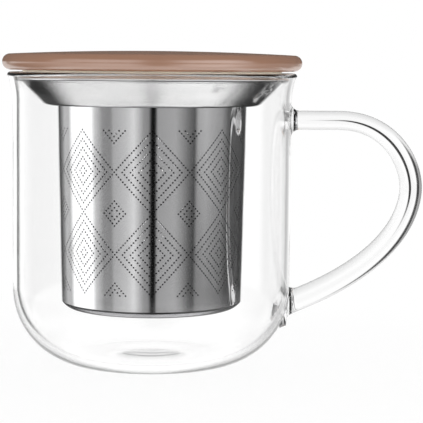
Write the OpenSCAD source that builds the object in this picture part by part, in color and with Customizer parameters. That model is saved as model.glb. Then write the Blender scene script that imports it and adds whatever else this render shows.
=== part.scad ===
// Glass tea mug with a drop-in steel infuser and a loose ceramic lid.
// The mug's axis is Z, the table is z = 0, and the handle points along +X.

/* [Glass mug] */
// Outside diameter of the straight wall
mug_d = 86; // [80:1:96]
// Height of the rim above the table
mug_h = 90.5; // [86:0.5:110]
// Thickness of the blown wall
wall_t = 1.6; // [1.2:0.1:2.2]
// Thickness of the floor beside its rise
floor_t = 2.2; // [1.6:0.1:4]
// Height of the low rise in the middle of the floor
floor_rise = 0.8; // [0.4:0.1:1.6]
// Diameter of that rise
floor_rise_d = 28.6; // [20:0.1:34]
// Radius of the round corner between wall and base
corner_r = 24; // [19:0.5:27]
// Height of the flared stretch under the rim
flare_h = 9; // [8:0.5:11]
// How far the flare carries the rim outwards
flare_out = 1.45; // [1.2:0.05:2]
// Extra thickness of the fire-polished rim
rim_swell = 0.4; // [0.2:0.05:0.6]

/* [Handle] */
// How far the upper joint's centre lies below the start of the flare
upper_joint_drop = 5.4; // [5:0.1:12]
// Height of the lower joint's centre
lower_joint_z = 18.7; // [16:0.1:26]
// Length of the level run from the wall to the bend
level_run = 15; // [10:0.5:20]
// Reach of the rod's centre line beyond the wall
reach = 37.7; // [32:0.1:46]
// Height of the point that reaches furthest
reach_z = 55.2; // [48:0.1:60]
// Rise of the lower run, in degrees from level
lower_rise = 23; // [15:1:35]
// Pull of the bend along the level run
bend_pull = 16; // [10:0.5:20]
// Pull of the bend above its furthest point
reach_pull = 8; // [4:0.5:12]
// Pull of the sweep below its furthest point
sweep_pull = 6.5; // [4:0.5:12]
// Length of the straight run that meets the lower joint
lower_run = 6; // [4:0.5:10]
// Pull of the sweep along the lower run
lower_pull = 31.5; // [22:0.5:34]
// Rod thickness along the level run
rod_top_d = 5.9; // [5:0.1:8]
// Rod thickness from the grip to the lower joint
rod_grip_d = 7; // [6:0.1:9]
// Radius of the fillet where the hot rod spreads onto the wall
joint_spread = 2.7; // [1:0.1:3]
// How far each joint dimples the wall inwards
joint_dimple = 1.8; // [1:0.1:2.5]
// Diameter of these dimples
joint_dimple_d = 10; // [8:0.5:16]

/* [Infuser] */
// Thickness of the spun collar
collar_t = 0.6; // [0.4:0.05:1]
// Diameter of the bead rolled round the collar's edge
bead_d = 1.7; // [1:0.1:2]
// How far the bead reaches past the mug's straight bore
seat_step = 0.9; // [0.7:0.05:1]
// Slope of the collar's cone, in degrees from level
collar_slope = 46.5; // [38:0.5:52]
// Width of the collar's flat ledge between the tube and the bend
collar_ledge = 2.9; // [1:0.1:4]
// Outer radius of the bend between the cone and the floor
collar_bend = 2.5; // [1.5:0.1:3.5]
// Outside diameter of the strainer tube under the collar
tube_top_d = 58.6; // [50:0.1:61]
// Outside diameter of the strainer tube at its base
tube_base_d = 56; // [48:0.1:58]
// Length of the strainer tube
tube_h = 60.9; // [50:0.1:62]
// Thickness of the tube and of its base cap
tube_t = 0.5; // [0.3:0.05:0.8]
// Outer radius of the base cap's pressed edge
cap_bend = 3.8; // [2.5:0.1:5]
// Angle of the crease where that edge meets the tube, in degrees
cap_crease = 25; // [0:1:35]

/* [Perforation] */
// Diameter of the strainer holes in the tube
hole_d = 0.9; // [0.5:0.05:1.2]
// Plain stretch of the tube below the perforated band
band_start = 5; // [3:0.5:8]
// Plain stretch above the band
band_end = 6.9; // [3:0.1:10]
// Lozenges round the tube
lozenge_columns = 8; // [6:1:10]
// Lozenges up the band
lozenge_rows = 2; // [2:1:3]
// Holes along each side of a lozenge
holes_per_side = 5; // [3:1:6]
// Diameter of the drain holes in the base cap
drain_d = 1; // [0.6:0.1:1.4]
// Rings of drain holes
drain_rings = 4; // [2:1:5]
// Distance from one ring of drain holes to the next
drain_pitch = 5; // [4:0.1:5]

/* [Lid] */
// How far the lid stands out over the mug's wall
lid_overhang = 3.15; // [2.5:0.05:5]
// Thickness of the lid's round edge
lid_edge_t = 4.9; // [4:0.1:6]
// Rise of the lid's middle above its edge
lid_dome = 1.1; // [0.6:0.1:2]
// Gap between the lid's underside and the rim, which the seated ring leaves open
lid_gap = 0.65; // [0.4:0.05:1.2]
// Depth of the ring that seats the lid in the collar's cone
ring_depth = 3.5; // [2.5:0.1:5]
// Width of this ring
ring_w = 3; // [2:0.1:4]
// Depth of the hollow inside the ring
lid_hollow = 1; // [0.5:0.1:2]

/* [Fit] */
// Gap between parts that rest on each other
seat_gap = 0.2; // [0.1:0.05:0.4]

/* [Hidden] */
$fn = 180;

glass_tint = [0.86, 0.92, 0.93, 0.45];
rod_tint = [0.80, 0.87, 0.90, 0.75];
steel_tint = [0.72, 0.73, 0.75];
polished_tint = [0.55, 0.56, 0.58];
clay_tint = [0.60, 0.45, 0.38];

// Mug
mug_r = mug_d / 2;
bore_r = mug_r - wall_t;
core_r = mug_r - corner_r;
rim_r = (wall_t + rim_swell) / 2;
rim_z = mug_h - rim_r;
flare_z = mug_h - flare_h;
flare_rise = rim_z - flare_z;
flare_r = (flare_rise * flare_rise + flare_out * flare_out) / (2 * flare_out);
flare_x = mug_r - wall_t / 2 + flare_r;
rim_x = mug_r - wall_t / 2 + flare_out;
inner_corner_r = corner_r - wall_t;
floor_rise_r = ((floor_rise_d / 2) ^ 2 + floor_rise ^ 2) / (2 * floor_rise);
wall_mid = wall_t / 2;
past = 1;
fine = 720;
arc_step = 9;
hole_sides = 24;

// Infuser
bead_r = bead_d / 2;
bead_x = bore_r + seat_step - bead_r;
seat_r = flare_r + wall_t / 2 + bead_r + seat_gap;
bead_z = flare_z + sqrt(seat_r * seat_r - (flare_x - bead_x) ^ 2);
tube_top_r = tube_top_d / 2;
tube_base_r = tube_base_d / 2;
slope_up = [-sin(collar_slope), cos(collar_slope)];
cone_top = [bead_x, bead_z] + bead_r * slope_up;
cone_under = cone_top - collar_t * slope_up;
bend_x = tube_top_r + collar_ledge;
bend_z = cone_under[1]
    + ((bend_x - cone_under[0]) * sin(collar_slope) + collar_bend) / cos(collar_slope);
collar_z = bend_z - collar_bend;
tube_z = collar_z - tube_h;
band_h = tube_h - band_start - band_end;

// Lid
lid_z = mug_h + lid_gap;
lid_edge_r = lid_edge_t / 2;
lid_edge_x = mug_r + lid_overhang - lid_edge_r;
dome_r = (lid_edge_x ^ 2 + (lid_edge_r + lid_dome) ^ 2 - lid_edge_r ^ 2) / (2 * lid_dome);
foot_r = ring_w / 2;
foot_z = lid_z - ring_depth + foot_r;
foot_x = cone_top[0]
    - (foot_r + seat_gap + (cone_top[1] - foot_z) * cos(collar_slope)) / sin(collar_slope);

// Handle
rod_sides = 24;
upper_joint_z = flare_z - upper_joint_drop;
level_inside = 2;
low_inside = 6;
low_dir = [cos(lower_rise), sin(lower_rise)];
low_wall = [core_r + sqrt(corner_r * corner_r - (corner_r - lower_joint_z) ^ 2), lower_joint_z];
low_tilt = asin((lower_joint_z - corner_r) / corner_r);
low_bore = [core_r, floor_t + inner_corner_r] + inner_corner_r * [cos(low_tilt), sin(low_tilt)];
level_start = [mug_r, upper_joint_z];
level_end = level_start + [level_run, 0];
far_point = [mug_r + reach, reach_z];
low_end = low_wall + lower_run * low_dir;

// Points on an arc about a centre, from one angle to another, about step degrees apart
function arc(centre, r, from, to, step = arc_step) =
    let (steps = ceil(abs(to - from) / step))
    [for (i = [0:steps])
        let (turn = from + (to - from) * i / steps)
        centre + r * [cos(turn), sin(turn)]];

// ---------------------------------------------------------------- mug

// Half section of a filled cup. wall_r is its wall's radius, low its underside, corner its
// corner radius, mouth the radius of the arc that flares it, and top where it is cut off.
module cup_section(wall_r, low, corner, mouth, top) {
    translate([0, low])
        square([core_r, top - low]);
    translate([core_r, low + corner])
        intersection() {
            circle(corner);
            translate([0, -corner])
                square(corner);
        }
    translate([0, low + corner])
        square([wall_r, flare_z - low - corner]);
    difference() {
        translate([0, flare_z])
            square([rim_x + rim_r, top - flare_z]);
        translate([flare_x, flare_z])
            circle(mouth, $fn = fine);
    }
}

// The mug's outer surface, filled
module outside_section() {
    cup_section(mug_r, 0, corner_r, flare_r - wall_mid, rim_z);
}

module bore_section() {
    cup_section(bore_r, floor_t, inner_corner_r, flare_r + wall_mid, mug_h + past);
}

module rim_section() {
    translate([rim_x, rim_z])
        circle(rim_r);
}

// The glass that the hot handle pushes inwards: a lens on the bore, tilted with the wall
module dimple(centre, tilt) {
    lens_r = ((joint_dimple_d / 2) ^ 2 + joint_dimple ^ 2) / (2 * joint_dimple);
    intersection() {
        translate([centre[0], 0, centre[1]])
            rotate([0, -tilt, 0])
                translate([lens_r - joint_dimple, 0, 0])
                    sphere(lens_r);
        rotate_extrude()
            cup_section(mug_r - wall_mid, floor_t / 2, corner_r - wall_mid, flare_r, rim_z);
    }
}

module glass_body() {
    color(glass_tint) {
        rotate_extrude()
            difference() {
                union() {
                    outside_section();
                    rim_section();
                }
                difference() {
                    bore_section();
                    rim_section();
                    translate([0, floor_t + floor_rise - floor_rise_r])
                        circle(floor_rise_r, $fn = fine);
                }
            }
        dimple([bore_r, upper_joint_z], 0);
        dimple(low_bore, low_tilt);
    }
}

// ---------------------------------------------------------------- handle

function bezier(a, b, c, d, t) =
    (1 - t) ^ 3 * a + 3 * (1 - t) ^ 2 * t * b + 3 * (1 - t) * t ^ 2 * c + t ^ 3 * d;

// How far a point lies outside the mug's wall
function wall_gap(p) =
    let (across = norm([p[0], p[1]]))
    p[2] < corner_r
        ? norm([across - core_r, p[2] - corner_r]) - corner_r
        : across - mug_r;

// The round fillet's growth at a distance from the wall
function spread(gap) =
    gap >= joint_spread
        ? 0
        : joint_spread - sqrt(joint_spread ^ 2 - (joint_spread - max(gap, 0)) ^ 2);

// Smooth step from 0 to 1
function ease(t) = t * t * (3 - 2 * t);

// The rod's rings, each a centre in the XZ plane and a radius. They stand close together in the
// fillets: at equal angles of the upper one's arc, and at equal steps through the slanting lower one.
fillet_steps = 10;
bend_steps = 14;
sweep_steps = 18;
low_steps = 24;
rod_route = concat(
    [[level_start - [level_inside, 0], rod_top_d / 2]],
    [for (i = [0:fillet_steps])
        [level_start + [joint_spread * (1 - cos(90 * i / fillet_steps)), 0], rod_top_d / 2]],
    [[level_end, rod_top_d / 2]],
    [for (i = [1:bend_steps])
        let (t = i / bend_steps)
        [bezier(level_end, level_end + [bend_pull, 0], far_point + [0, reach_pull], far_point, t),
            rod_top_d / 2 + (rod_grip_d - rod_top_d) / 2 * ease(t)]],
    [for (i = [1:sweep_steps])
        let (t = i / sweep_steps)
        [bezier(far_point, far_point - [0, sweep_pull], low_end + lower_pull * low_dir, low_end, t),
            rod_grip_d / 2]],
    [for (i = [1:low_steps])
        [low_end - (lower_run + low_inside) * i / low_steps * low_dir, rod_grip_d / 2]]);

function route_dir(i) =
    let (a = rod_route[max(i - 1, 0)][0], b = rod_route[min(i + 1, len(rod_route) - 1)][0])
    (b - a) / norm(b - a);

// One ring of the rod's skin, spread where it comes near the wall
function rod_ring(i) =
    let (c = rod_route[i][0], r = rod_route[i][1], d = route_dir(i), out = [-d[1], d[0]])
    [for (k = [0:rod_sides - 1])
        let (turn = 360 * k / rod_sides,
            u = [out[0] * cos(turn), sin(turn), out[1] * cos(turn)],
            p = [c[0], 0, c[1]] + r * u)
        p + spread(wall_gap(p)) * u];

module rod() {
    rings = len(rod_route);
    points = [for (i = [0:rings - 1]) each rod_ring(i)];
    sides = [for (i = [0:rings - 2], k = [0:rod_sides - 1])
        let (a = i * rod_sides + k, b = i * rod_sides + (k + 1) % rod_sides)
        [a, b, b + rod_sides, a + rod_sides]];
    first = [for (k = [0:rod_sides - 1]) rod_sides - 1 - k];
    last = [for (k = [0:rod_sides - 1]) (rings - 1) * rod_sides + k];
    polyhedron(points, concat(sides, [first, last]), convexity = 4);
}

module glass_handle() {
    color(rod_tint)
        difference() {
            rod();
            rotate_extrude()
                outside_section();
        }
}

// ---------------------------------------------------------------- infuser

// Spun collar: a rolled bead, a cone, a bend and a flat ring that carries the tube
module infuser_collar() {
    floor_edge = tube_top_r - tube_t;
    bend_mid = [bend_x, bend_z];
    bend_to = collar_slope - 90;
    bead_end = 450 + collar_slope;
    bead_start = bead_end - 360 + acos((bead_r - collar_t) / bead_r);
    under = concat(
        [[floor_edge, collar_z]],
        arc(bend_mid, collar_bend, -90, bend_to));
    bead = arc([bead_x, bead_z], bead_r, bead_start, bead_end);
    over = concat(
        arc(bend_mid, collar_bend - collar_t, bend_to, -90),
        [[floor_edge, collar_z + collar_t]]);
    color(steel_tint)
        rotate_extrude()
            polygon(concat(under, bead, over));
}

// Radius of the tube's outside at a height above its end
function tube_r(h) = tube_base_r + (tube_top_r - tube_base_r) * h / tube_h;

// A hole through one wall of the tube
module strainer_hole(turn, h) {
    rotate([0, 0, turn])
        translate([tube_r(h) - tube_t - past, 0, h])
            rotate([0, 90, 0])
                cylinder(d = hole_d, h = tube_t + 2 * past, $fn = hole_sides);
}

// Tapered strainer tube, with its holes along the sides of a lattice of lozenges
module infuser_tube() {
    lozenge_h = band_h / lozenge_rows;
    step_turn = 180 / lozenge_columns / holes_per_side;
    step_h = lozenge_h / 2 / holes_per_side;
    levels = 2 * lozenge_rows * holes_per_side;
    color(polished_tint)
        translate([0, 0, tube_z])
            difference() {
                rotate_extrude()
                    polygon([
                        [tube_base_r - tube_t, 0],
                        [tube_base_r, 0],
                        [tube_top_r, tube_h],
                        [tube_top_r - tube_t, tube_h]]);
                for (column = [0:lozenge_columns - 1], level = [0:levels]) {
                    along = level % (2 * holes_per_side);
                    fold = min(along, 2 * holes_per_side - along);
                    middle = 360 * column / lozenge_columns;
                    h = band_start + level * step_h;
                    strainer_hole(middle + fold * step_turn, h);
                    if (fold > 0 && fold < holes_per_side)
                        strainer_hole(middle - fold * step_turn, h);
                }
            }
}

// Pressed cap that closes the tube, with rings of drain holes
module infuser_base() {
    edge_mid = [tube_base_r - cap_bend * cos(cap_crease), tube_z + cap_bend * sin(cap_crease)];
    inner_bend = cap_bend - tube_t;
    inner_crease = asin(cap_bend * sin(cap_crease) / inner_bend);
    low = edge_mid[1] - cap_bend;
    color(steel_tint)
        difference() {
            rotate_extrude()
                polygon(concat(
                    [[0, low]],
                    arc(edge_mid, cap_bend, -90, -cap_crease),
                    arc(edge_mid, inner_bend, -inner_crease, -90),
                    [[0, low + tube_t]]));
            translate([0, 0, low - past]) {
                cylinder(d = drain_d, h = tube_t + 2 * past, $fn = hole_sides);
                for (ring = [1:drain_rings], i = [0:6 * ring - 1])
                    rotate([0, 0, 60 * i / ring])
                        translate([ring * drain_pitch, 0, 0])
                            cylinder(d = drain_d, h = tube_t + 2 * past, $fn = hole_sides);
            }
        }
}

// ---------------------------------------------------------------- lid

// Glazed disc with a domed top and a round edge, and a ring underneath
module ceramic_lid() {
    edge_mid = [lid_edge_x, lid_z + lid_edge_r];
    dome_mid = [0, lid_z + lid_edge_t + lid_dome - dome_r];
    dome_end = atan2(edge_mid[1] - dome_mid[1], lid_edge_x);
    dome_step = (90 - dome_end) / 12;
    under = concat(
        [[0, lid_z + lid_hollow], [foot_x - foot_r, lid_z + lid_hollow]],
        arc([foot_x, foot_z], foot_r, 180, 360),
        [[foot_x + foot_r, lid_z]]);
    edge = arc(edge_mid, lid_edge_r, -90, dome_end);
    dome = arc(dome_mid, dome_r, dome_end + dome_step, 90, dome_step);
    color(clay_tint)
        rotate_extrude()
            polygon(concat(under, edge, dome));
}

glass_body();
glass_handle();
infuser_collar();
infuser_tube();
infuser_base();
ceramic_lid();
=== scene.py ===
import bmesh
import bpy
import numpy as np
from mathutils import Matrix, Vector
from mathutils.geometry import delaunay_2d_cdt


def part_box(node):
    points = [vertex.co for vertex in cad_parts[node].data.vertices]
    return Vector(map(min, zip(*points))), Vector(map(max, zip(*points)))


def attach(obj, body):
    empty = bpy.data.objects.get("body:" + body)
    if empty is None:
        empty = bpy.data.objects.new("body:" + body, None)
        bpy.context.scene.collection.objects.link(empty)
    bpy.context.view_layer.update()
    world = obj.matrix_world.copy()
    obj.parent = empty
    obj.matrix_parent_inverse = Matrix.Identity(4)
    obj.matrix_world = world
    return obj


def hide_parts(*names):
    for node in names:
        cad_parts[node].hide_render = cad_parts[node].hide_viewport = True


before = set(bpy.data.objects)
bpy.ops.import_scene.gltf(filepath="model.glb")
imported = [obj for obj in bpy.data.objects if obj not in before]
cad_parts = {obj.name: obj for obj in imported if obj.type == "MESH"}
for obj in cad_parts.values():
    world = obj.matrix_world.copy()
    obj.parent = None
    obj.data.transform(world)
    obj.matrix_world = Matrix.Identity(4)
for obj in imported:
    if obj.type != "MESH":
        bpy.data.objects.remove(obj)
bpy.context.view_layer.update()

MM = 0.001

# ---------------------------------------------------------------- glass cup
# A cup blown from clear borosilicate glass, 86 mm across, with a round lower corner.
# Its mouth flares a little, and the cut rim is melted round in the flame.
cup_radius = 43.0
cup_wall = 1.6
cup_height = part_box("glass_body")[1].z / MM
corner_radius = 24.0
floor_thickness = 2.2
floor_rise = 0.8
floor_rise_radius = 14.3
flare_height = 9.0
flare_out = 1.45
rim_swell = 0.4
rim_blend = 10.0
joint_heights = (76.1, 18.7)
dimple_depth = 1.8
dimple_radius = 5.6
dimple_margin = 1.0
dimple_floor = 4.0
bore_share = 0.6

core_radius = cup_radius - corner_radius
bore_radius = cup_radius - cup_wall
rim_radius = (cup_wall + rim_swell) / 2
flare_start = cup_height - flare_height
flare_rise = flare_height - rim_radius
flare_arc = (flare_rise**2 + flare_out**2) / (2 * flare_out)
flare_middle = np.array([cup_radius - cup_wall / 2 + flare_arc, flare_start])
rim_middle = np.array([cup_radius - cup_wall / 2 + flare_out, flare_start + flare_rise])


def arc(middle, radius, start, end, steps):
    """Points on a circle about middle, from one angle in degrees to another."""
    turn = np.radians(np.linspace(start, end, steps))
    return np.asarray(middle) + radius * np.stack([np.cos(turn), np.sin(turn)], 1)


def line(start, end, steps):
    """Evenly spaced points on a straight line, both ends included."""
    share = np.linspace(0, 1, steps)[:, None]
    return np.asarray(start) * (1 - share) + np.asarray(end) * share


def joined(*runs):
    """Runs of points put end to end, without the points that repeat."""
    points = np.concatenate(runs)
    far = np.linalg.norm(np.diff(points, axis=0), axis=1) > 1e-6
    return points[np.concatenate([[True], far])]


def band(first, second, sides):
    """The ring of four-sided faces between two rings of points that start at these indices."""
    side = np.arange(sides)
    beside = (side + 1) % sides
    return np.stack([first + side, first + beside, second + beside, second + side], 1)


def turned(outline, sides):
    """Each point of the outline turned about the axis: radius times (cos, sin), and its height."""
    turn = np.linspace(0, 2 * np.pi, sides, endpoint=False)
    return np.stack([
        np.outer(outline[:, 0], np.cos(turn)),
        np.outer(outline[:, 0], np.sin(turn)),
        np.outer(outline[:, 1], np.ones(sides))], 2).reshape(-1, 3)


def revolved(outline, sides):
    """A surface of revolution. An outline that starts and ends on the axis gets a pole at each end,
    and any other is a closed loop."""
    poles = outline[0, 0] < 1e-9
    rings = outline[1:-1] if poles else outline
    starts = np.arange(len(rings)) * sides
    points = turned(rings, sides)
    faces = [band(a, b, sides) for a, b in zip(starts[:-1], starts[1:])]
    if not poles:
        faces.append(band(starts[-1], 0, sides))
    faces = np.concatenate(faces).tolist()
    if poles:
        side = np.arange(sides)
        beside = (side + 1) % sides
        pole = len(points)
        points = np.concatenate([points, [[0, 0, outline[0, 1]], [0, 0, outline[-1, 1]]]])
        faces += np.stack([beside, side, np.full(sides, pole)], 1).tolist()
        faces += np.stack([starts[-1] + side, starts[-1] + beside, np.full(sides, pole + 1)], 1).tolist()
    return points, faces


def closed(name, points, faces):
    """An object at the origin, in metres, with its doubles merged and its faces turned outwards."""
    mesh = bpy.data.meshes.new(name)
    mesh.from_pydata((np.asarray(points) * MM).tolist(), [], faces)
    shell = bmesh.new()
    shell.from_mesh(mesh)
    bmesh.ops.remove_doubles(shell, verts=shell.verts, dist=1e-7)
    if shell.calc_volume(signed=True) < 0:
        bmesh.ops.reverse_faces(shell, faces=shell.faces)
    shell.to_mesh(mesh)
    shell.free()
    piece = bpy.data.objects.new(name, mesh)
    bpy.context.scene.collection.objects.link(piece)
    return piece


def finished(piece, body, materials, nodes, sharp=40.0):
    """Smooths a piece up to its sharp edges, gives it its materials, and fits it to the frame."""
    piece.data.shade_smooth()
    piece.data.set_sharp_from_angle(angle=np.radians(sharp))
    piece.data.materials.clear()
    for material in materials:
        piece.data.materials.append(material)
    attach(piece, body)
    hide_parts(*nodes)


def linear(code):
    """A colour written as sRGB hex, as linear red, green, blue and full alpha."""
    part = np.array([int(code[i:i + 2], 16) for i in (0, 2, 4)]) / 255
    part = np.where(part <= 0.04045, part / 12.92, ((part + 0.055) / 1.055) ** 2.4)
    return (*part.tolist(), 1.0)


def add_node(tree, kind, values=None, links=None, **settings):
    """Adds a node, sets its options and its sockets' values, and links other nodes' outputs to it."""
    made = tree.nodes.new(kind)
    for name, value in settings.items():
        setattr(made, name, value)
    for name, value in (values or {}).items():
        made.inputs[name].default_value = value
    for name, output in (links or {}).items():
        tree.links.new(output, made.inputs[name])
    return made


def surface(name, values, pattern=None):
    """A material with one Principled surface. pattern(tree) gives the outputs that drive its sockets."""
    material = bpy.data.materials.new(name)
    material.use_nodes = True
    tree = material.node_tree
    tree.nodes.clear()
    made = add_node(tree, "ShaderNodeBsdfPrincipled", values, pattern(tree) if pattern else None)
    add_node(tree, "ShaderNodeOutputMaterial", links={"Surface": made.outputs[0]})
    return material


def blown_ripple(tree):
    """The slow waviness that blowing and flame work leave in glass, about 20 mm from crest to crest."""
    place = add_node(tree, "ShaderNodeTexCoord")
    wave = add_node(
        tree, "ShaderNodeTexNoise", {"Scale": 50.0, "Detail": 1.0}, {"Vector": place.outputs["Object"]})
    bump = add_node(
        tree, "ShaderNodeBump", {"Strength": 0.03, "Distance": 0.001}, {"Height": wave.outputs["Fac"]})
    return {"Normal": bump.outputs["Normal"]}


# Borosilicate glass, blown and fire-polished: water-clear, so only its edges draw it.
clear_glass = surface("clear_borosilicate_glass", {
    "Base Color": linear("ffffff"),
    "Roughness": 0.0,
    "IOR": 1.473,
    "Transmission Weight": 1.0}, blown_ripple)


def cup_outline():
    """Underside, corner, wall and flare outside, the round rim, and the same inside down to the floor."""
    lean = np.degrees(np.arcsin(flare_rise / flare_arc))
    outer_corner = (core_radius, corner_radius)
    inner_corner = (core_radius, floor_thickness + corner_radius - cup_wall)
    dimple_low = joint_heights[0] - dimple_radius - dimple_margin
    rise = np.linspace(floor_rise_radius, 0, 14)
    dome = floor_thickness + floor_rise * (0.5 + 0.5 * np.cos(np.pi * rise / floor_rise_radius))
    return joined(
        line((0, 0), (core_radius, 0), 6),
        arc(outer_corner, corner_radius, -90, 0, 56),
        line((cup_radius, corner_radius), (cup_radius, flare_start), 8),
        arc(flare_middle, flare_arc - cup_wall / 2, 180, 180 - lean, 20),
        arc(rim_middle, rim_radius, rim_blend - lean, 180 - lean - rim_blend, 20),
        arc(flare_middle, flare_arc + cup_wall / 2, 180 - lean, 180, 20),
        line((bore_radius, flare_start), (bore_radius, dimple_low), 24),
        line((bore_radius, dimple_low), (bore_radius, inner_corner[1]), 6),
        arc(inner_corner, corner_radius - cup_wall, 0, -90, 52),
        line((core_radius, floor_thickness), (floor_rise_radius, floor_thickness), 3),
        np.stack([rise, dome], 1))


def dimpled(points):
    """Pushes the bore in behind the handle's joints, by a smooth bump that falls to nothing at its radius.
    What lies deeper in the wall than a share of it is the bore's."""
    inside = np.hypot(points[:, 0], points[:, 1]) < cup_radius - bore_share * cup_wall
    inside &= (points[:, 2] > floor_thickness + dimple_floor) & (points[:, 2] < flare_start)
    inside &= points[:, 0] > 0
    for height in joint_heights:
        away = np.hypot(points[:, 1], points[:, 2] - height) / dimple_radius
        points[:, 0] -= inside * dimple_depth * np.clip(1 - away**2, 0, 1) ** 1.5
    return points


points, faces = revolved(cup_outline(), 256)
cup = closed("glass_cup_and_handle", dimpled(points), faces)

# ---------------------------------------------------------------- glass handle
# A solid glass rod, bent hot to a loop and fused to the cup at two spots.
# The soft ends spread into small fillets, and the two glasses run together into one.
level_run = 15.0
handle_reach = 37.7
reach_height = 55.2
lower_slope = 23.0
bend_pull = 16.0
reach_pull = 8.0
sweep_pull = 6.5
lower_run = 6.0
lower_pull = 31.5
upper_root = 1.4
lower_root = 5.0
rod_top = 2.95
rod_grip = 3.5
joint_spread = 2.7
spread_sink = 0.03
rod_depth = 0.8
rod_sides = 64


def bezier(a, b, c, d, steps):
    """The cubic curve from a to d that leaves towards b and arrives from c."""
    t = np.linspace(0, 1, steps)[:, None]
    return (1 - t) ** 3 * a + 3 * (1 - t) ** 2 * t * b + 3 * (1 - t) * t**2 * c + t**3 * d


def wall_gap(points):
    """Distance from the cup's outer surface: radial on the wall, and from the corner's arc below it."""
    across = np.hypot(points[..., 0], points[..., 1])
    round_gap = np.hypot(across - core_radius, points[..., 2] - corner_radius) - corner_radius
    return np.where(points[..., 2] < corner_radius, round_gap, across - cup_radius)


def spread(gap):
    """The fillet: a quarter circle that leaves the rod and lies flat a hair inside the wall's surface."""
    left = np.clip(joint_spread - gap - spread_sink, 0, joint_spread)
    return joint_spread - np.sqrt(joint_spread**2 - left**2)


def handle_route():
    """The rod's centre line in the XZ plane, and its radius at each point."""
    start = np.array([cup_radius, joint_heights[0]])
    fillet = joint_spread * (1 - np.cos(np.radians(np.linspace(0, 90, 16)))) - spread_sink
    fillet_run = start + np.stack([fillet, np.zeros_like(fillet)], 1)
    level_end = start + [level_run, 0]
    far = np.array([cup_radius + handle_reach, reach_height])
    low = joint_heights[1]
    low_wall = np.array([core_radius + np.sqrt(corner_radius**2 - (corner_radius - low) ** 2), low])
    slope = np.radians(lower_slope)
    along = np.array([np.cos(slope), np.sin(slope)])
    low_end = low_wall + lower_run * along
    runs = [
        line(start - [upper_root, 0], fillet_run[0], 4),
        fillet_run,
        line(fillet_run[-1], level_end, 12),
        bezier(level_end, level_end + [bend_pull, 0], far + [0, reach_pull], far, 48),
        bezier(far, far - [0, sweep_pull], low_end + lower_pull * along, low_end, 64),
        line(low_end, low_wall - lower_root * along, 100)]
    route = joined(*runs)
    level = sum(len(run) for run in runs[:3]) - 3
    share = np.clip((np.arange(len(route)) - level) / len(runs[3]), 0, 1)
    return route, rod_top + (rod_grip - rod_top) * share**2 * (3 - 2 * share)


def swept(route, radius, sides):
    """A round rod: rings about the route, each point moved out by the fillet at its gap from the wall."""
    along = np.gradient(route, axis=0)
    along /= np.linalg.norm(along, axis=1)[:, None]
    turn = np.linspace(0, 2 * np.pi, sides, endpoint=False)
    out = np.stack([
        np.outer(-along[:, 1], np.cos(turn)),
        np.outer(np.ones(len(route)), np.sin(turn)),
        np.outer(along[:, 0], np.cos(turn))], 2)
    middle = np.stack([route[:, 0], np.zeros(len(route)), route[:, 1]], 1)[:, None, :]
    rod = middle + radius[:, None, None] * out
    rod = rod + spread(wall_gap(rod))[:, :, None] * out
    starts = np.arange(len(route)) * sides
    faces = np.concatenate([band(a, b, sides) for a, b in zip(starts[:-1], starts[1:])]).tolist()
    faces.append(list(range(sides))[::-1])
    faces.append([int(starts[-1]) + k for k in range(sides)])
    return rod.reshape(-1, 3), faces


def sunk(points, depth):
    """Draws points that lie deeper than depth in the cup's wall out again, along the wall's normal."""
    across = np.hypot(points[:, 0], points[:, 1])
    below = points[:, 2] < corner_radius
    away = np.stack([
        np.where(below, across - core_radius, 1.0),
        np.where(below, points[:, 2] - corner_radius, 0.0)], 1)
    away /= np.linalg.norm(away, axis=1)[:, None]
    push = np.clip(-depth - wall_gap(points), 0, None)
    moved = points.copy()
    moved[:, :2] *= (1 + push * away[:, 0] / across)[:, None]
    moved[:, 2] += push * away[:, 1]
    return moved


def fused(base, other):
    """Joins two overlapping closed objects into the first, and takes the second away."""
    union = base.modifiers.new("fused", "BOOLEAN")
    union.operation = "UNION"
    union.solver = "MANIFOLD"
    union.object = other
    whole = bpy.data.meshes.new_from_object(base.evaluated_get(bpy.context.evaluated_depsgraph_get()))
    base.modifiers.clear()
    base.data = whole
    bpy.data.objects.remove(other)


route, radius = handle_route()
points, faces = swept(route, radius, rod_sides)
fused(cup, closed("rod", sunk(points, rod_depth), faces))
finished(cup, "mug", [clear_glass], ["glass_body", "glass_handle"])

# ---------------------------------------------------------------- infuser collar
# Spun from 0.6 mm stainless sheet: a cone with its edge rolled to a bead, which rests in the mug's flare.
# Brushed on the lathe, so its grain runs round and its reflections smear up and down.
collar_low, collar_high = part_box("infuser_collar")
collar_sheet = 0.6
bead_radius = 0.85
bead_middle = np.array([collar_high.x, collar_high.z]) / MM - bead_radius
collar_slope = 46.5
collar_floor = collar_low.z / MM
collar_bend = 2.5
tube_top_radius = 29.3
tube_sheet = 0.5


def collar_outline():
    """Closed section: flat ring, outer bend, cone up to the rolled bead, and back along the inner side."""
    slope = np.radians(collar_slope)
    normal = np.array([-np.sin(slope), np.cos(slope)])
    under = bead_middle + (bead_radius - collar_sheet) * normal
    bend_height = collar_floor + collar_bend
    bend_place = under[0] + ((bend_height - under[1]) * np.cos(slope) - collar_bend) / np.sin(slope)
    bend = (bend_place, bend_height)
    # From where the cone's underside meets the bead, round below and above, to where its inner side touches.
    bead_end = 450 + collar_slope
    bead_start = bead_end - 360 + np.degrees(np.arccos((bead_radius - collar_sheet) / bead_radius))
    edge = tube_top_radius - tube_sheet
    outer_bend = arc(bend, collar_bend, -90, collar_slope - 90, 12)
    inner_bend = arc(bend, collar_bend - collar_sheet, collar_slope - 90, -90, 12)
    bead = arc(bead_middle, bead_radius, bead_start, bead_end, 36)
    return joined(
        line((edge, collar_floor), outer_bend[0], 4),
        outer_bend,
        line(outer_bend[-1], bead[0], 16),
        bead,
        line(bead[-1], inner_bend[0], 16),
        inner_bend,
        line(inner_bend[-1], (edge, collar_floor + collar_sheet), 4))


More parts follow.
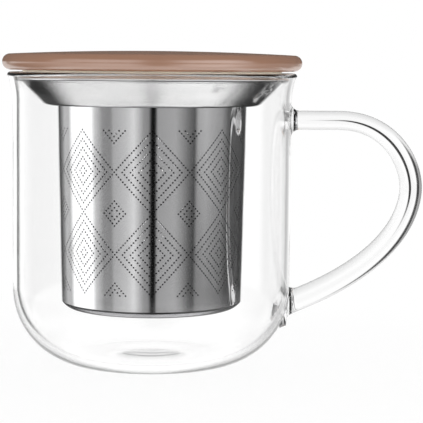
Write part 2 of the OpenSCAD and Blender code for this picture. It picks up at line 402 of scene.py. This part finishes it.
def lathe_grain(tree):
    """Fine grooves round the axis: noise that is stretched sideways, about 0.3 mm apart up the cone."""
    place = add_node(tree, "ShaderNodeTexCoord")
    squash = add_node(
        tree, "ShaderNodeMapping", {"Scale": (12.0, 12.0, 3300.0)}, {"Vector": place.outputs["Object"]})
    grain = add_node(
        tree, "ShaderNodeTexNoise", {"Scale": 1.0, "Detail": 3.0}, {"Vector": squash.outputs["Vector"]})
    rough = add_node(
        tree, "ShaderNodeMapRange", {"To Min": 0.1, "To Max": 0.18}, {"Value": grain.outputs["Fac"]})
    bump = add_node(
        tree, "ShaderNodeBump", {"Strength": 0.1, "Distance": 0.0001}, {"Height": grain.outputs["Fac"]})
    return {"Roughness": rough.outputs["Result"], "Normal": bump.outputs["Normal"]}


# Stainless steel, brushed: satin, so it shows broad bands of light and no sharp picture of the room.
brushed_steel = surface("brushed_stainless_steel", {
    "Base Color": linear("d0d0d0"),
    "Metallic": 1.0}, lathe_grain)

points, faces = revolved(collar_outline(), 192)
collar = closed("collar_with_bead", points, faces)
finished(collar, "infuser", [brushed_steel], ["infuser_collar"])

# ---------------------------------------------------------------- strainer tube
# Perforated stainless sheet, rolled to a slightly tapered tube and welded up its back.
# The holes are etched in rows along a lattice of nested lozenges.
tube_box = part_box("infuser_tube")
tube_low = tube_box[0].z / MM
tube_length = tube_box[1].z / MM - tube_low
tube_base_radius = 28.0
columns = 8
rows = 2
band_start = 5.0
band_height = 49.0
nested_sizes = (1.0, 0.78, 0.56, 0.34, 0.12)
edge_sizes = (0.3, 0.14)
hole_radius = 0.29
hole_pitch = 1.0
hole_corners = 6
weld_half = 1.6
grid_step = 2.6
grid_clearance = 2.2 * hole_radius
pattern_radius = 28.6
column_width = 2 * np.pi * pattern_radius / columns
lozenge = np.array([column_width / 2, band_height / rows / 2])


def dotted(corners):
    """Evenly pitched dots along each side of a closed outline, each corner once."""
    sides = []
    for start, end in zip(corners, np.roll(corners, -1, axis=0)):
        steps = max(2, int(round(np.linalg.norm(end - start) / hole_pitch)))
        sides.append(line(start, end, steps + 1)[:-1])
    return np.concatenate(sides)


def lozenge_dots(middle, size):
    """Dots on a lozenge of a given share of the full size."""
    tips = np.array([(1, 0), (0, 1), (-1, 0), (0, -1)])
    return dotted(np.asarray(middle) + size * lozenge * tips)


def column_dots():
    """One column of the pattern: nested lozenges on its middle, and small ones on its edge between them."""
    runs = []
    for row in range(rows):
        middle = (0, lozenge[1] * (2 * row + 1))
        runs += [lozenge_dots(middle, size) for size in nested_sizes]
    for row in range(rows + 1):
        middle = (lozenge[0], lozenge[1] * 2 * row)
        runs += [lozenge_dots(middle, size) for size in edge_sizes]
    dots = np.concatenate(runs)
    dots = dots[(dots[:, 1] > -1e-6) & (dots[:, 1] < band_height + 1e-6)]
    return dots[dots[:, 0] > -lozenge[0] + 0.01]


def outlined(dots, size, corners):
    """Corner points of a small polygon round each dot, and the index of the next corner of each."""
    turn = np.arange(corners) * 2 * np.pi / corners
    rim = size * np.stack([np.cos(turn), np.sin(turn)], 1)
    first = np.arange(len(dots) * corners)
    return (dots[:, None] + rim[None]).reshape(-1, 2), first - first % corners + (first + 1) % corners


def pierced(flat, following, corners):
    """Triangles over a flat sheet of points, apart from those inside its holes.

    The holes' corners come first in flat, and following gives the next corner of each.
    """
    edges = np.stack([np.arange(len(following)), following], 1)
    made = delaunay_2d_cdt([tuple(p) for p in flat], edges.tolist(), [], 0, 1e-6)
    source = np.array([near[0] for near in made[3]])
    triangles = source[np.array(made[2])]
    hole = np.where(triangles < len(following), triangles // corners, -1 - triangles)
    return triangles[(hole[:, 0] != hole[:, 1]) | (hole[:, 1] != hole[:, 2])]


def perforated():
    """The flat sheet with its holes: its points, its triangles, and the number of points on holes."""
    half = column_width * columns / 2
    shifts = np.array([[k * column_width, band_start] for k in range(-columns // 2, columns // 2 + 1)])
    dots = (column_dots()[None] + shifts[:, None]).reshape(-1, 2)
    dots = dots[np.abs(dots[:, 0]) < half - weld_half]
    dots = np.unique(np.round(dots, 2), axis=0)
    holes, following = outlined(dots, hole_radius, hole_corners)
    across = np.linspace(-half, half, int(2 * half / grid_step) + 1)
    up = np.linspace(0, tube_length, int(tube_length / grid_step) + 1)
    grid = np.stack(np.meshgrid(across, up), 2).reshape(-1, 2)
    away = np.array([np.linalg.norm(dots - place, axis=1).min() for place in grid])
    flat = np.concatenate([holes, grid[away > grid_clearance]])
    return flat, pierced(flat, following, hole_corners), following


def rolled(flat, thickness):
    """The cone: turn goes with the way across, from the front, and radius grows evenly with height."""
    turn = 1.5 * np.pi + flat[:, 0] / (column_width * columns) * 2 * np.pi
    radius = tube_base_radius + (tube_top_radius - tube_base_radius) * flat[:, 1] / tube_length - thickness
    return np.stack([radius * np.cos(turn), radius * np.sin(turn), tube_low + flat[:, 1]], 1)


def tube_shell():
    """Outer skin, inner skin, then a wall round every hole and a ring along both ends."""
    flat, triangles, following = perforated()
    count = len(flat)
    points = np.concatenate([rolled(flat, 0), rolled(flat, tube_sheet)])
    first = np.arange(len(following))
    walls = np.stack([first, following, following + count, first + count], 1)
    ends = []
    for height in (0, tube_length):
        ring = np.flatnonzero(np.abs(flat[:, 1] - height) < 1e-6)
        ring = ring[np.argsort(flat[ring, 0])]
        if height:
            ring = ring[::-1]
        ends.append(np.stack([ring[:-1], ring[:-1] + count, ring[1:] + count, ring[1:]], 1))
    faces = triangles.tolist() + (triangles[:, ::-1] + count).tolist()
    faces += walls.tolist() + np.concatenate(ends).tolist()
    return points, faces, len(triangles)


def exact_skins(mesh, skin_triangles):
    """Gives both skins the cone's own normals, so that reflections run straight between the holes."""
    corners = 3 * skin_triangles
    normals = np.empty(len(mesh.loops) * 3)
    mesh.corner_normals.foreach_get("vector", normals)
    normals = normals.reshape(-1, 3)
    vertex = np.empty(len(mesh.loops), int)
    mesh.loops.foreach_get("vertex_index", vertex)
    place = np.empty(len(mesh.vertices) * 3)
    mesh.vertices.foreach_get("co", place)
    place = place.reshape(-1, 3)[vertex[:2 * corners]]
    lean = (tube_top_radius - tube_base_radius) / tube_length
    level = place[:, :2] / np.linalg.norm(place[:, :2], axis=1)[:, None]
    out = np.column_stack([level, np.full(len(place), -lean)]) / np.hypot(1, lean)
    normals[:corners] = out[:corners]
    normals[corners:2 * corners] = -out[corners:]
    mesh.normals_split_custom_set(normals.tolist())


def polished_grain(tree):
    """Faint upright draw lines that a polishing belt leaves: noise that is stretched up the tube."""
    place = add_node(tree, "ShaderNodeTexCoord")
    squash = add_node(
        tree, "ShaderNodeMapping", {"Scale": (900.0, 900.0, 10.0)}, {"Vector": place.outputs["Object"]})
    grain = add_node(
        tree, "ShaderNodeTexNoise", {"Scale": 1.0, "Detail": 2.0}, {"Vector": squash.outputs["Vector"]})
    rough = add_node(
        tree, "ShaderNodeMapRange", {"To Min": 0.03, "To Max": 0.09}, {"Value": grain.outputs["Fac"]})
    return {"Roughness": rough.outputs["Result"]}


# Stainless steel, belt-polished before it was rolled: nearly a mirror, with soft edges to what it reflects.
polished_steel = surface("polished_stainless_steel", {
    "Base Color": linear("dededf"),
    "Metallic": 1.0}, polished_grain)

# The same steel painted nearly black as painted shade: the etched hole walls and the tube's inside, which
# read as dark dots, and the band at the cap's weld.
dark_steel_for_shade_and_weld_tint = surface("steel_painted_dark_for_shade_and_weld_tint", {
    "Base Color": linear("161617"),
    "Metallic": 1.0,
    "Roughness": 0.6})

points, faces, skin_triangles = tube_shell()
tube = closed("perforated_tube", points, faces)
finished(tube, "infuser", [polished_steel, dark_steel_for_shade_and_weld_tint], ["infuser_tube"], sharp=30.0)
# Everything after the outer skin (inner skin, hole walls and ends) takes the nearly black steel: painted
# shade inside the tube.
inside = np.arange(len(tube.data.polygons)) >= skin_triangles
tube.data.polygons.foreach_set("material_index", inside.astype(np.int32))
exact_skins(tube.data, skin_triangles)

# ---------------------------------------------------------------- strainer base
# A shallow steel cap with a pressed round edge, welded to the tube's lower end, where it leaves a crease.
# Drain holes stand in six-fold rings over its flat.
cap_bend = 3.8
cap_crease = 25.0
seam_height = 0.5
drain_radius = 0.5
drain_rings = 4
drain_pitch = 5.0
drain_corners = 16
cap_sides = 192


def drain_dots():
    """The middle hole and the rings round it, each with six more holes than the last."""
    rings = [np.zeros((1, 2))]
    for ring in range(1, drain_rings + 1):
        turn = np.linspace(0, 2 * np.pi, 6 * ring, endpoint=False)
        rings.append(ring * drain_pitch * np.stack([np.cos(turn), np.sin(turn)], 1))
    return np.concatenate(rings)


def cap_shell():
    """Both faces of the pierced disc, the walls of its holes, and the pressed edge turned about the axis."""
    crease = np.radians(cap_crease)
    flat_radius = tube_base_radius - cap_bend * np.cos(crease)
    bend_height = tube_low + cap_bend * np.sin(crease)
    inner_bend = cap_bend - tube_sheet
    inner_crease = np.degrees(np.arcsin(cap_bend * np.sin(crease) / inner_bend))
    low = bend_height - cap_bend
    holes, following = outlined(drain_dots(), drain_radius, drain_corners)
    edge = turned(np.array([[flat_radius, 0]]), cap_sides)[:, :2]
    flat = np.concatenate([holes, edge])
    triangles = pierced(flat, following, drain_corners)
    count = len(flat)
    under = np.column_stack([flat, np.full(count, low)])
    over = np.column_stack([flat, np.full(count, low + tube_sheet)])
    first = np.arange(len(holes))
    walls = np.stack([first, following, following + count, first + count], 1)
    outer = arc((flat_radius, bend_height), cap_bend, -90, -cap_crease, 14)
    inner = arc((flat_radius, bend_height), inner_bend, -inner_crease, -90, 14)
    lip = np.concatenate([outer[1:], inner[:-1]])
    starts = np.concatenate([[len(holes)], 2 * count + np.arange(len(lip)) * cap_sides, [len(holes) + count]])
    bands = [band(a, b, cap_sides) for a, b in zip(starts[:-1], starts[1:])]
    faces = triangles[:, ::-1].tolist() + (triangles + count).tolist()
    faces += walls.tolist() + np.concatenate(bands).tolist()
    return np.concatenate([under, over, turned(lip, cap_sides)]), faces


# Stainless steel as the press leaves it, duller than the tube. Its colour is painted darker as painted shade,
# standing in for the shaded table under the mug that it mirrors. The band at the weld is painted nearly
# black: crease shade together with the weld's heat tint.
shade_darkened_pressed_steel = surface("pressed_steel_darkened_for_shade", {
    "Base Color": linear("98989a"),
    "Metallic": 1.0}, lathe_grain)

points, faces = cap_shell()
cap = closed("pressed_base_cap", points, faces)
finished(cap, "infuser", [shade_darkened_pressed_steel, dark_steel_for_shade_and_weld_tint], ["infuser_base"])
# The band just under the tube's end takes the nearly black steel: painted shade in the weld's crease,
# together with the weld's heat tint.
middles = np.empty(3 * len(cap.data.polygons))
cap.data.polygons.foreach_get("center", middles)
at_seam = middles[2::3] > (tube_low - seam_height) * MM
cap.data.polygons.foreach_set("material_index", at_seam.astype(np.int32))

# ---------------------------------------------------------------- lid
# A pressed stoneware disc with a domed top and a round edge, glazed clay brown.
# The ring underneath seats it in the infuser's cone, and is left bare of glaze.
lid_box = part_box("ceramic_lid")
ring_depth = 3.5
ring_width = 3.0
ring_outer = 39.79
lid_low = lid_box[0].z / MM + ring_depth
lid_edge_radius = 2.45
lid_edge_middle = np.array([lid_box[1].x / MM - lid_edge_radius, lid_low + lid_edge_radius])
lid_dome = 1.1
lid_hollow = 1.0
hollow_fillet = 1.2
ring_fillet = 0.8
glaze_gap = 0.05
glaze_fade = 0.1


def lid_outline():
    """From the axis under the lid: hollow, round ring, flat underside, round edge, and the domed top."""
    reach, rise = lid_edge_middle[0], lid_edge_radius + lid_dome
    dome_radius = (reach**2 + rise**2 - lid_edge_radius**2) / (2 * lid_dome)
    dome_middle = np.array([0, lid_low + 2 * lid_edge_radius + lid_dome - dome_radius])
    dome_end = np.degrees(np.arctan2(lid_edge_middle[1] - dome_middle[1], lid_edge_middle[0]))
    ring_middle = (ring_outer - ring_width / 2, lid_low - ring_depth + ring_width / 2)
    inner = ring_outer - ring_width - hollow_fillet
    outer = ring_outer + ring_fillet
    roof = lid_low + lid_hollow
    return joined(
        line((0, roof), (inner, roof), 12),
        arc((inner, roof - hollow_fillet), hollow_fillet, 90, 0, 6),
        arc(ring_middle, ring_width / 2, 180, 360, 20),
        arc((outer, lid_low - ring_fillet), ring_fillet, 180, 90, 6),
        line((outer, lid_low), (lid_edge_middle[0], lid_low), 4),
        arc(lid_edge_middle, lid_edge_radius, -90, dome_end, 28),
        arc(dome_middle, dome_radius, dome_end, 90, 28))


def clay_glaze(tree):
    """Glaze over clay with a slow cloud of tone, which loses its sheen where it is seen at a glancing angle.
    The ring, below the flat underside, is bare: paler and matt. Its pale tone is partly the clay's own colour
    and partly painted light, standing in for the bright glint of the glass rim in the gap under the lid."""
    place = add_node(tree, "ShaderNodeTexCoord")
    cloud = add_node(
        tree, "ShaderNodeTexNoise", {"Scale": 60.0, "Detail": 4.0}, {"Vector": place.outputs["Object"]})
    glaze = add_node(tree, "ShaderNodeValToRGB", links={"Fac": cloud.outputs["Fac"]})
    glaze.color_ramp.elements[0].color = linear("a97e66")
    glaze.color_ramp.elements[1].color = linear("b1876f")
    glaze.color_ramp.elements[0].position = 0.3
    glaze.color_ramp.elements[1].position = 0.7
    height = add_node(tree, "ShaderNodeSeparateXYZ", links={"Vector": place.outputs["Object"]})
    glaze_end = lid_low - glaze_gap
    bare = add_node(
        tree, "ShaderNodeMapRange", {
            "From Min": (glaze_end - glaze_fade) * MM, "From Max": (glaze_end + glaze_fade) * MM,
            "To Min": 1.0, "To Max": 0.0},
        {"Value": height.outputs["Z"]})
    # Pale bare clay on the ring: partly its own colour, partly a painted highlight for the bright gap under
    # the lid.
    tone = add_node(
        tree, "ShaderNodeMixRGB", {"Color2": linear("e6dccb")},
        {"Fac": bare.outputs["Result"], "Color1": glaze.outputs["Color"]})
    rough = add_node(
        tree, "ShaderNodeMapRange", {"To Min": 0.2, "To Max": 0.75}, {"Value": bare.outputs["Result"]})
    skin = add_node(
        tree, "ShaderNodeTexNoise", {"Scale": 260.0, "Detail": 2.0}, {"Vector": place.outputs["Object"]})
    bump = add_node(
        tree, "ShaderNodeBump", {"Strength": 0.05, "Distance": 0.0003}, {"Height": skin.outputs["Fac"]})
    facing = add_node(tree, "ShaderNodeLayerWeight", {"Blend": 0.5})
    sheen = add_node(
        tree, "ShaderNodeMapRange", {"From Min": 0.55, "From Max": 0.9, "To Min": 1.0, "To Max": 0.15},
        {"Value": facing.outputs["Facing"]})
    level = add_node(
        tree, "ShaderNodeMath", {1: 0.5}, {0: sheen.outputs["Result"]}, operation="MULTIPLY")
    return {
        "Base Color": tone.outputs["Color"],
        "Roughness": rough.outputs["Result"],
        "Specular IOR Level": level.outputs[0],
        "Coat Weight": sheen.outputs["Result"],
        "Normal": bump.outputs["Normal"]}


# Stoneware under a gloss glaze: warm brown clay, with a soft bright skin of reflection over it.
glazed_clay = surface("glazed_clay_stoneware", {
    "IOR": 1.55,
    "Coat Roughness": 0.12,
    "Coat IOR": 1.6}, clay_glaze)

points, faces = revolved(lid_outline(), 256)
lid = closed("glazed_lid", points, faces)
finished(lid, "lid", [glazed_clay], ["ceramic_lid"])

# ---------------------------------------------------------------- studio
# A white table in a white tent. Black and grey flags stand in the tent's wall: they draw the edges of the
# glass, and with wide soft panels left and right they make the stripes on the steel. The glass, the steel
# inside it, the rod and the outer faces each see a room of their own.
table_radius = 0.3
shade_inner = 0.05
shade_outer = 0.16


def table_shader(tree):
    """White paint that takes a faint shadow under the object and turns to plain white further out."""
    place = add_node(tree, "ShaderNodeTexCoord")
    away = add_node(tree, "ShaderNodeVectorMath", links={0: place.outputs["Object"]}, operation="LENGTH")
    fade = add_node(
        tree, "ShaderNodeMapRange",
        {"From Min": shade_inner, "From Max": shade_outer, "To Min": 0.92, "To Max": 1.0},
        {"Value": away.outputs["Value"]}, interpolation_type="SMOOTHSTEP")
    paint = add_node(tree, "ShaderNodeBsdfDiffuse", {"Color": linear("fafafa")})
    white = add_node(tree, "ShaderNodeEmission", {"Strength": 1.0})
    blend = add_node(tree, "ShaderNodeMixShader", links={
        0: fade.outputs["Result"], 1: paint.outputs[0], 2: white.outputs[0]})
    add_node(tree, "ShaderNodeOutputMaterial", links={"Surface": blend.outputs[0]})


table_paint = bpy.data.materials.new("white_table")
table_paint.use_nodes = True
table_paint.node_tree.nodes.clear()
table_shader(table_paint.node_tree)
table_mesh = bpy.data.meshes.new("table")
table_mesh.from_pydata(turned(np.array([[table_radius, 0]]), 96).tolist(), [], [list(range(96))])
table_mesh.materials.append(table_paint)
table = bpy.data.objects.new("table", table_mesh)
bpy.context.scene.collection.objects.link(table)
table.visible_glossy = False
table.visible_transmission = False
table.visible_diffuse = False
table.visible_shadow = False

# Each ring of panels and flags goes round the room in degrees from the camera's side, right positive, with
# their brightness. What clear glass shows: a white tent behind it, with a thin black flag left and a grey
# one right, and a dark room in front.
glass_ring = [
    (-180, 1.0), (-174, 1.03), (-171, 1.15), (-166, 1.3), (-160, 1.1), (-156, 0.95), (-151, 1.05),
    (-150.4, 0.0), (-144.0, 0.0), (-142.6, 1.25), (-128, 1.15), (-118, 0.2), (-90, 0.1), (90, 0.1),
    (112, 0.15), (126, 1.05), (144, 1.05), (150, 0.6), (156, 0.6), (162, 0.95), (168, 1.15), (172, 1.05),
    (180, 1.0)]
# What the steel shows from inside the glass: a wide panel left, a softer one right, the lens's black gap.
steel_ring = [
    (-180, 0.03), (-150, 0.06), (-140, 0.3), (-131, 0.63), (-120.5, 0.62), (-112, 1.7), (-79, 1.7),
    (-73, 0.8), (-61, 0.3), (-51, 0.33), (-47, 0.57), (-31, 0.76), (-22, 1.0), (-16, 0.7),
    (-10, 0.4), (-4.5, 0.34), (-1, 0.0), (3.8, 0.0), (6.5, 0.46), (28, 0.54), (36, 0.4),
    (46, 0.18), (52, 0.1), (57, 0.55), (68, 0.66), (92, 0.38), (104, 0.12), (124, 0.03),
    (180, 0.03)]
# The same at the level to which the right panel dims lower down.
panel_dim = 0.45
dimmed_ring = [(degrees, panel_dim * level) for degrees, level in steel_ring]
# What it shows of the white table, with the camera's shade in the middle.
ground_ring = [
    (-180, 1.3), (-60, 1.3), (-50, 1.25), (-40, 0.78), (40, 0.78), (50, 1.3), (60, 1.45), (180, 1.45)]
# What outer faces mirror level with them, and the two soft boxes that they mirror lower down.
open_ring = [
    (-180, 1.0), (-150, 1.0), (-146, 0.2), (-141, 0.2), (-137, 1.0), (-66, 1.0), (-56, 0.35), (-30, 0.2),
    (-12, 0.05), (12, 0.05), (30, 0.15), (50, 0.25), (62, 0.6), (120, 0.4), (138, 0.25), (150, 0.4),
    (162, 1.0), (180, 1.0)]
soft_boxes = [
    (-180, 1.0), (-150, 1.0), (-138, 0.2), (-124, 0.06), (-109, 0.25), (-93, 0.55), (-79, 0.9),
    (-52, 1.45), (-40, 1.7), (-18, 1.7), (-10, 1.2), (-2, 0.4), (8, 0.35), (16, 0.8), (26, 1.7), (45, 2.1),
    (60, 2.3), (74, 1.6), (88, 0.7), (100, 0.4), (124, 0.3), (136, 0.3), (150, 1.0), (180, 1.0)]
# What the rod shows straight through it.
rod_ring = [
    (-180, 1.0), (-168, 1.0), (-164, 0.02), (-154, 0.02), (-150, 0.4), (-120, 0.4), (-100, 0.1), (100, 0.8),
    (120, 1.05), (180, 1.0)]
# A small black flag that only the rod shows: its place across and up, and its half width and height.
spot_place = (0.182, -0.03)
spot_size = (0.085, 0.075)
# The light that falls on dull things, in the open and through the glass.
room_level = 0.85
level_in_glass = 3.0


def grey(level):
    """A neutral colour of a given brightness."""
    return (level, level, level, 1.0)


def room(tree, share, ring, zones=()):
    """A ring of panels by the share of the turn round it, and zones laid over it one after the other. A zone
    is the value that it follows, where that starts it and where it fills it, and its colour or grey level."""
    ramp = add_node(tree, "ShaderNodeValToRGB", links={"Fac": share})
    stops = ramp.color_ramp.elements
    while len(stops) < len(ring):
        stops.new(0.5)
    for stop, (degrees, level) in zip(stops, ring):
        stop.position = (degrees + 180) / 360
        stop.color = grey(level)
    colour = ramp.outputs["Color"]
    for value, start, end, over in zones:
        filled = add_node(
            tree, "ShaderNodeMapRange", {"From Min": start, "From Max": end}, {"Value": value},
            interpolation_type="SMOOTHSTEP")
        laid = add_node(
            tree, "ShaderNodeMixRGB", links={"Fac": filled.outputs["Result"], "Color1": colour})
        if isinstance(over, float):
            laid.inputs["Color2"].default_value = grey(over)
        else:
            tree.links.new(over, laid.inputs["Color2"])
        colour = laid.outputs["Color"]
    return colour


def steel_room(tree, share, across, toward, up):
    """Panels near the horizon, of which the right one dims downwards, white above and behind the object, a
    black zone, and the table below it. The table's edge lies lower on the right."""
    right = add_node(tree, "ShaderNodeMapRange", {"From Min": 0.55, "From Max": 0.8}, {"Value": across})
    low = add_node(tree, "ShaderNodeMapRange", {"From Min": -0.05, "From Max": -0.2}, {"Value": up})
    both = add_node(
        tree, "ShaderNodeMath", links={0: right.outputs[0], 1: low.outputs[0]}, operation="MULTIPLY")
    edge = add_node(
        tree, "ShaderNodeMath", {1: 0.12}, {0: across, 2: up}, operation="MULTIPLY_ADD")
    return room(tree, share, steel_ring, [
        (both.outputs[0], 0.0, 1.0, room(tree, share, dimmed_ring)),
        (up, 0.02, 0.12, 1.0),
        (toward, -0.9, -0.96, 0.95),
        (up, -0.21, -0.26, 0.0),
        (edge.outputs[0], -0.55, -0.84, room(tree, share, ground_ring))])


def outer_room(tree, share, toward, up):
    """Panels level with the object, soft boxes below them and in front above them, the table at the bottom,
    and a dark ceiling that also covers the back."""
    above = room(tree, share, soft_boxes, [(up, 0.45, 0.75, 0.1), (toward, 0.25, 0.0, 0.1)])
    return room(tree, share, open_ring, [
        (up, -0.1, -0.22, room(tree, share, soft_boxes)),
        (up, -0.02, 0.02, above),
        (up, -0.6, -0.8, 1.45)])


def rod_room(tree, share, up, direction):
    """White, with a black flag left, duller towards the table and the ceiling, and one small black spot."""
    stretch = (1 / spot_size[0], 0, 1 / spot_size[1])
    shift = (-spot_place[0] / spot_size[0], 0, -spot_place[1] / spot_size[1])
    spot = add_node(
        tree, "ShaderNodeVectorMath", {1: stretch, 2: shift}, {0: direction}, operation="MULTIPLY_ADD")
    away = add_node(tree, "ShaderNodeVectorMath", links={0: spot.outputs[0]}, operation="LENGTH")
    return room(tree, share, rod_ring, [
        (up, -0.3, -0.5, 0.9),
        (up, -0.5, -0.65, 0.84),
        (up, 0.42, 0.6, 0.88),
        (up, 0.6, 0.8, 0.75),
        (away.outputs["Value"], 1.15, 0.75, 0.03)])


def room_light(tree):
    """White to the camera and a plain level to light that falls on dull things. Other rays see a room by the
    glass surfaces they crossed and by whether anything mirrored them: four or more and a mirror is steel
    inside the cup, two and no mirror is the rod, none and a mirror is an outer face, the rest is glass."""
    place = add_node(tree, "ShaderNodeTexCoord")
    direction = place.outputs["Generated"]
    axes = add_node(tree, "ShaderNodeSeparateXYZ", links={0: direction})
    across, up = axes.outputs["X"], axes.outputs["Z"]
    front = add_node(tree, "ShaderNodeMath", {1: -1.0}, {0: axes.outputs["Y"]}, operation="MULTIPLY")
    toward = front.outputs[0]
    angle = add_node(tree, "ShaderNodeMath", links={0: across, 1: toward}, operation="ARCTAN2")
    turned_by = add_node(
        tree, "ShaderNodeMapRange", {"From Min": -np.pi, "From Max": np.pi}, {"Value": angle.outputs[0]})
    share = turned_by.outputs["Result"]
    path = add_node(tree, "ShaderNodeLightPath")
    crossed, mirrored = path.outputs["Transmission Depth"], path.outputs["Glossy Depth"]
    rooms = [
        ((4, 16), (1, 19), steel_room(tree, share, across, toward, up)),
        ((0, 0), (1, 19), outer_room(tree, share, toward, up)),
        ((2, 2), (0, 0), rod_room(tree, share, up, direction))]
    zones = [(up, 0.3, 0.7, 0.62), (up, -0.35, -0.6, 1.0)]
    for crossings, mirrors, seen in rooms:
        counted = []
        for depth, (least, most) in ((crossed, crossings), (mirrored, mirrors)):
            counted.append(add_node(
                tree, "ShaderNodeMath", {1: (least + most) / 2, 2: (most - least + 1) / 2}, {0: depth},
                operation="COMPARE"))
        both = add_node(
            tree, "ShaderNodeMath", links={0: counted[0].outputs[0], 1: counted[1].outputs[0]},
            operation="MULTIPLY")
        zones.append((both.outputs[0], 0.0, 1.0, seen))
    plain = add_node(
        tree, "ShaderNodeMapRange", {
            "From Min": 0.4, "From Max": 0.6, "To Min": room_level, "To Max": level_in_glass},
        {"Value": crossed})
    zones += [
        (path.outputs["Diffuse Depth"], 0.4, 0.6, plain.outputs["Result"]),
        (path.outputs["Is Camera Ray"], 0.0, 1.0, 1.0)]
    light = add_node(tree, "ShaderNodeBackground", links={"Color": room(tree, share, glass_ring, zones)})
    add_node(tree, "ShaderNodeOutputWorld", links={"Surface": light.outputs[0]})


world = bpy.data.worlds.new("studio")
world.use_nodes = True
world.node_tree.nodes.clear()
room_light(world.node_tree)
world.cycles.sampling_method = "NONE"

scene = bpy.context.scene
scene.world = world
scene.view_settings.view_transform = "Standard"
scene.cycles.max_bounces = 32
scene.cycles.transmission_bounces = 32
scene.cycles.glossy_bounces = 16
scene.cycles.transparent_max_bounces = 16

# ---------------------------------------------------------------- camera
# Level with the lid, half a metre in front, turned a little to the handle's side and tipped down.
camera_distance = 539.3
camera_height = 95.1
turn_right = np.radians(1.97)
tip_down = np.radians(5.04)
roll = np.radians(0.46)
lens = bpy.data.cameras.new("camera")
lens.lens = 148.06
lens.sensor_width = 36.0
lens.clip_start = 0.01
camera = bpy.data.objects.new("camera", lens)
scene.collection.objects.link(camera)
ahead = np.array([
    np.sin(turn_right) * np.cos(tip_down), np.cos(turn_right) * np.cos(tip_down), -np.sin(tip_down)])
right = np.array([np.cos(turn_right), -np.sin(turn_right), 0])
up = np.cross(right, ahead)
rolled_right = np.cos(roll) * right + np.sin(roll) * up
rolled_up = np.cos(roll) * up - np.sin(roll) * right
place = np.array([0, -camera_distance, camera_height]) * MM
camera.matrix_world = Matrix(
    np.column_stack([rolled_right, rolled_up, -ahead, place]).tolist() + [[0, 0, 0, 1]])
scene.camera = camera
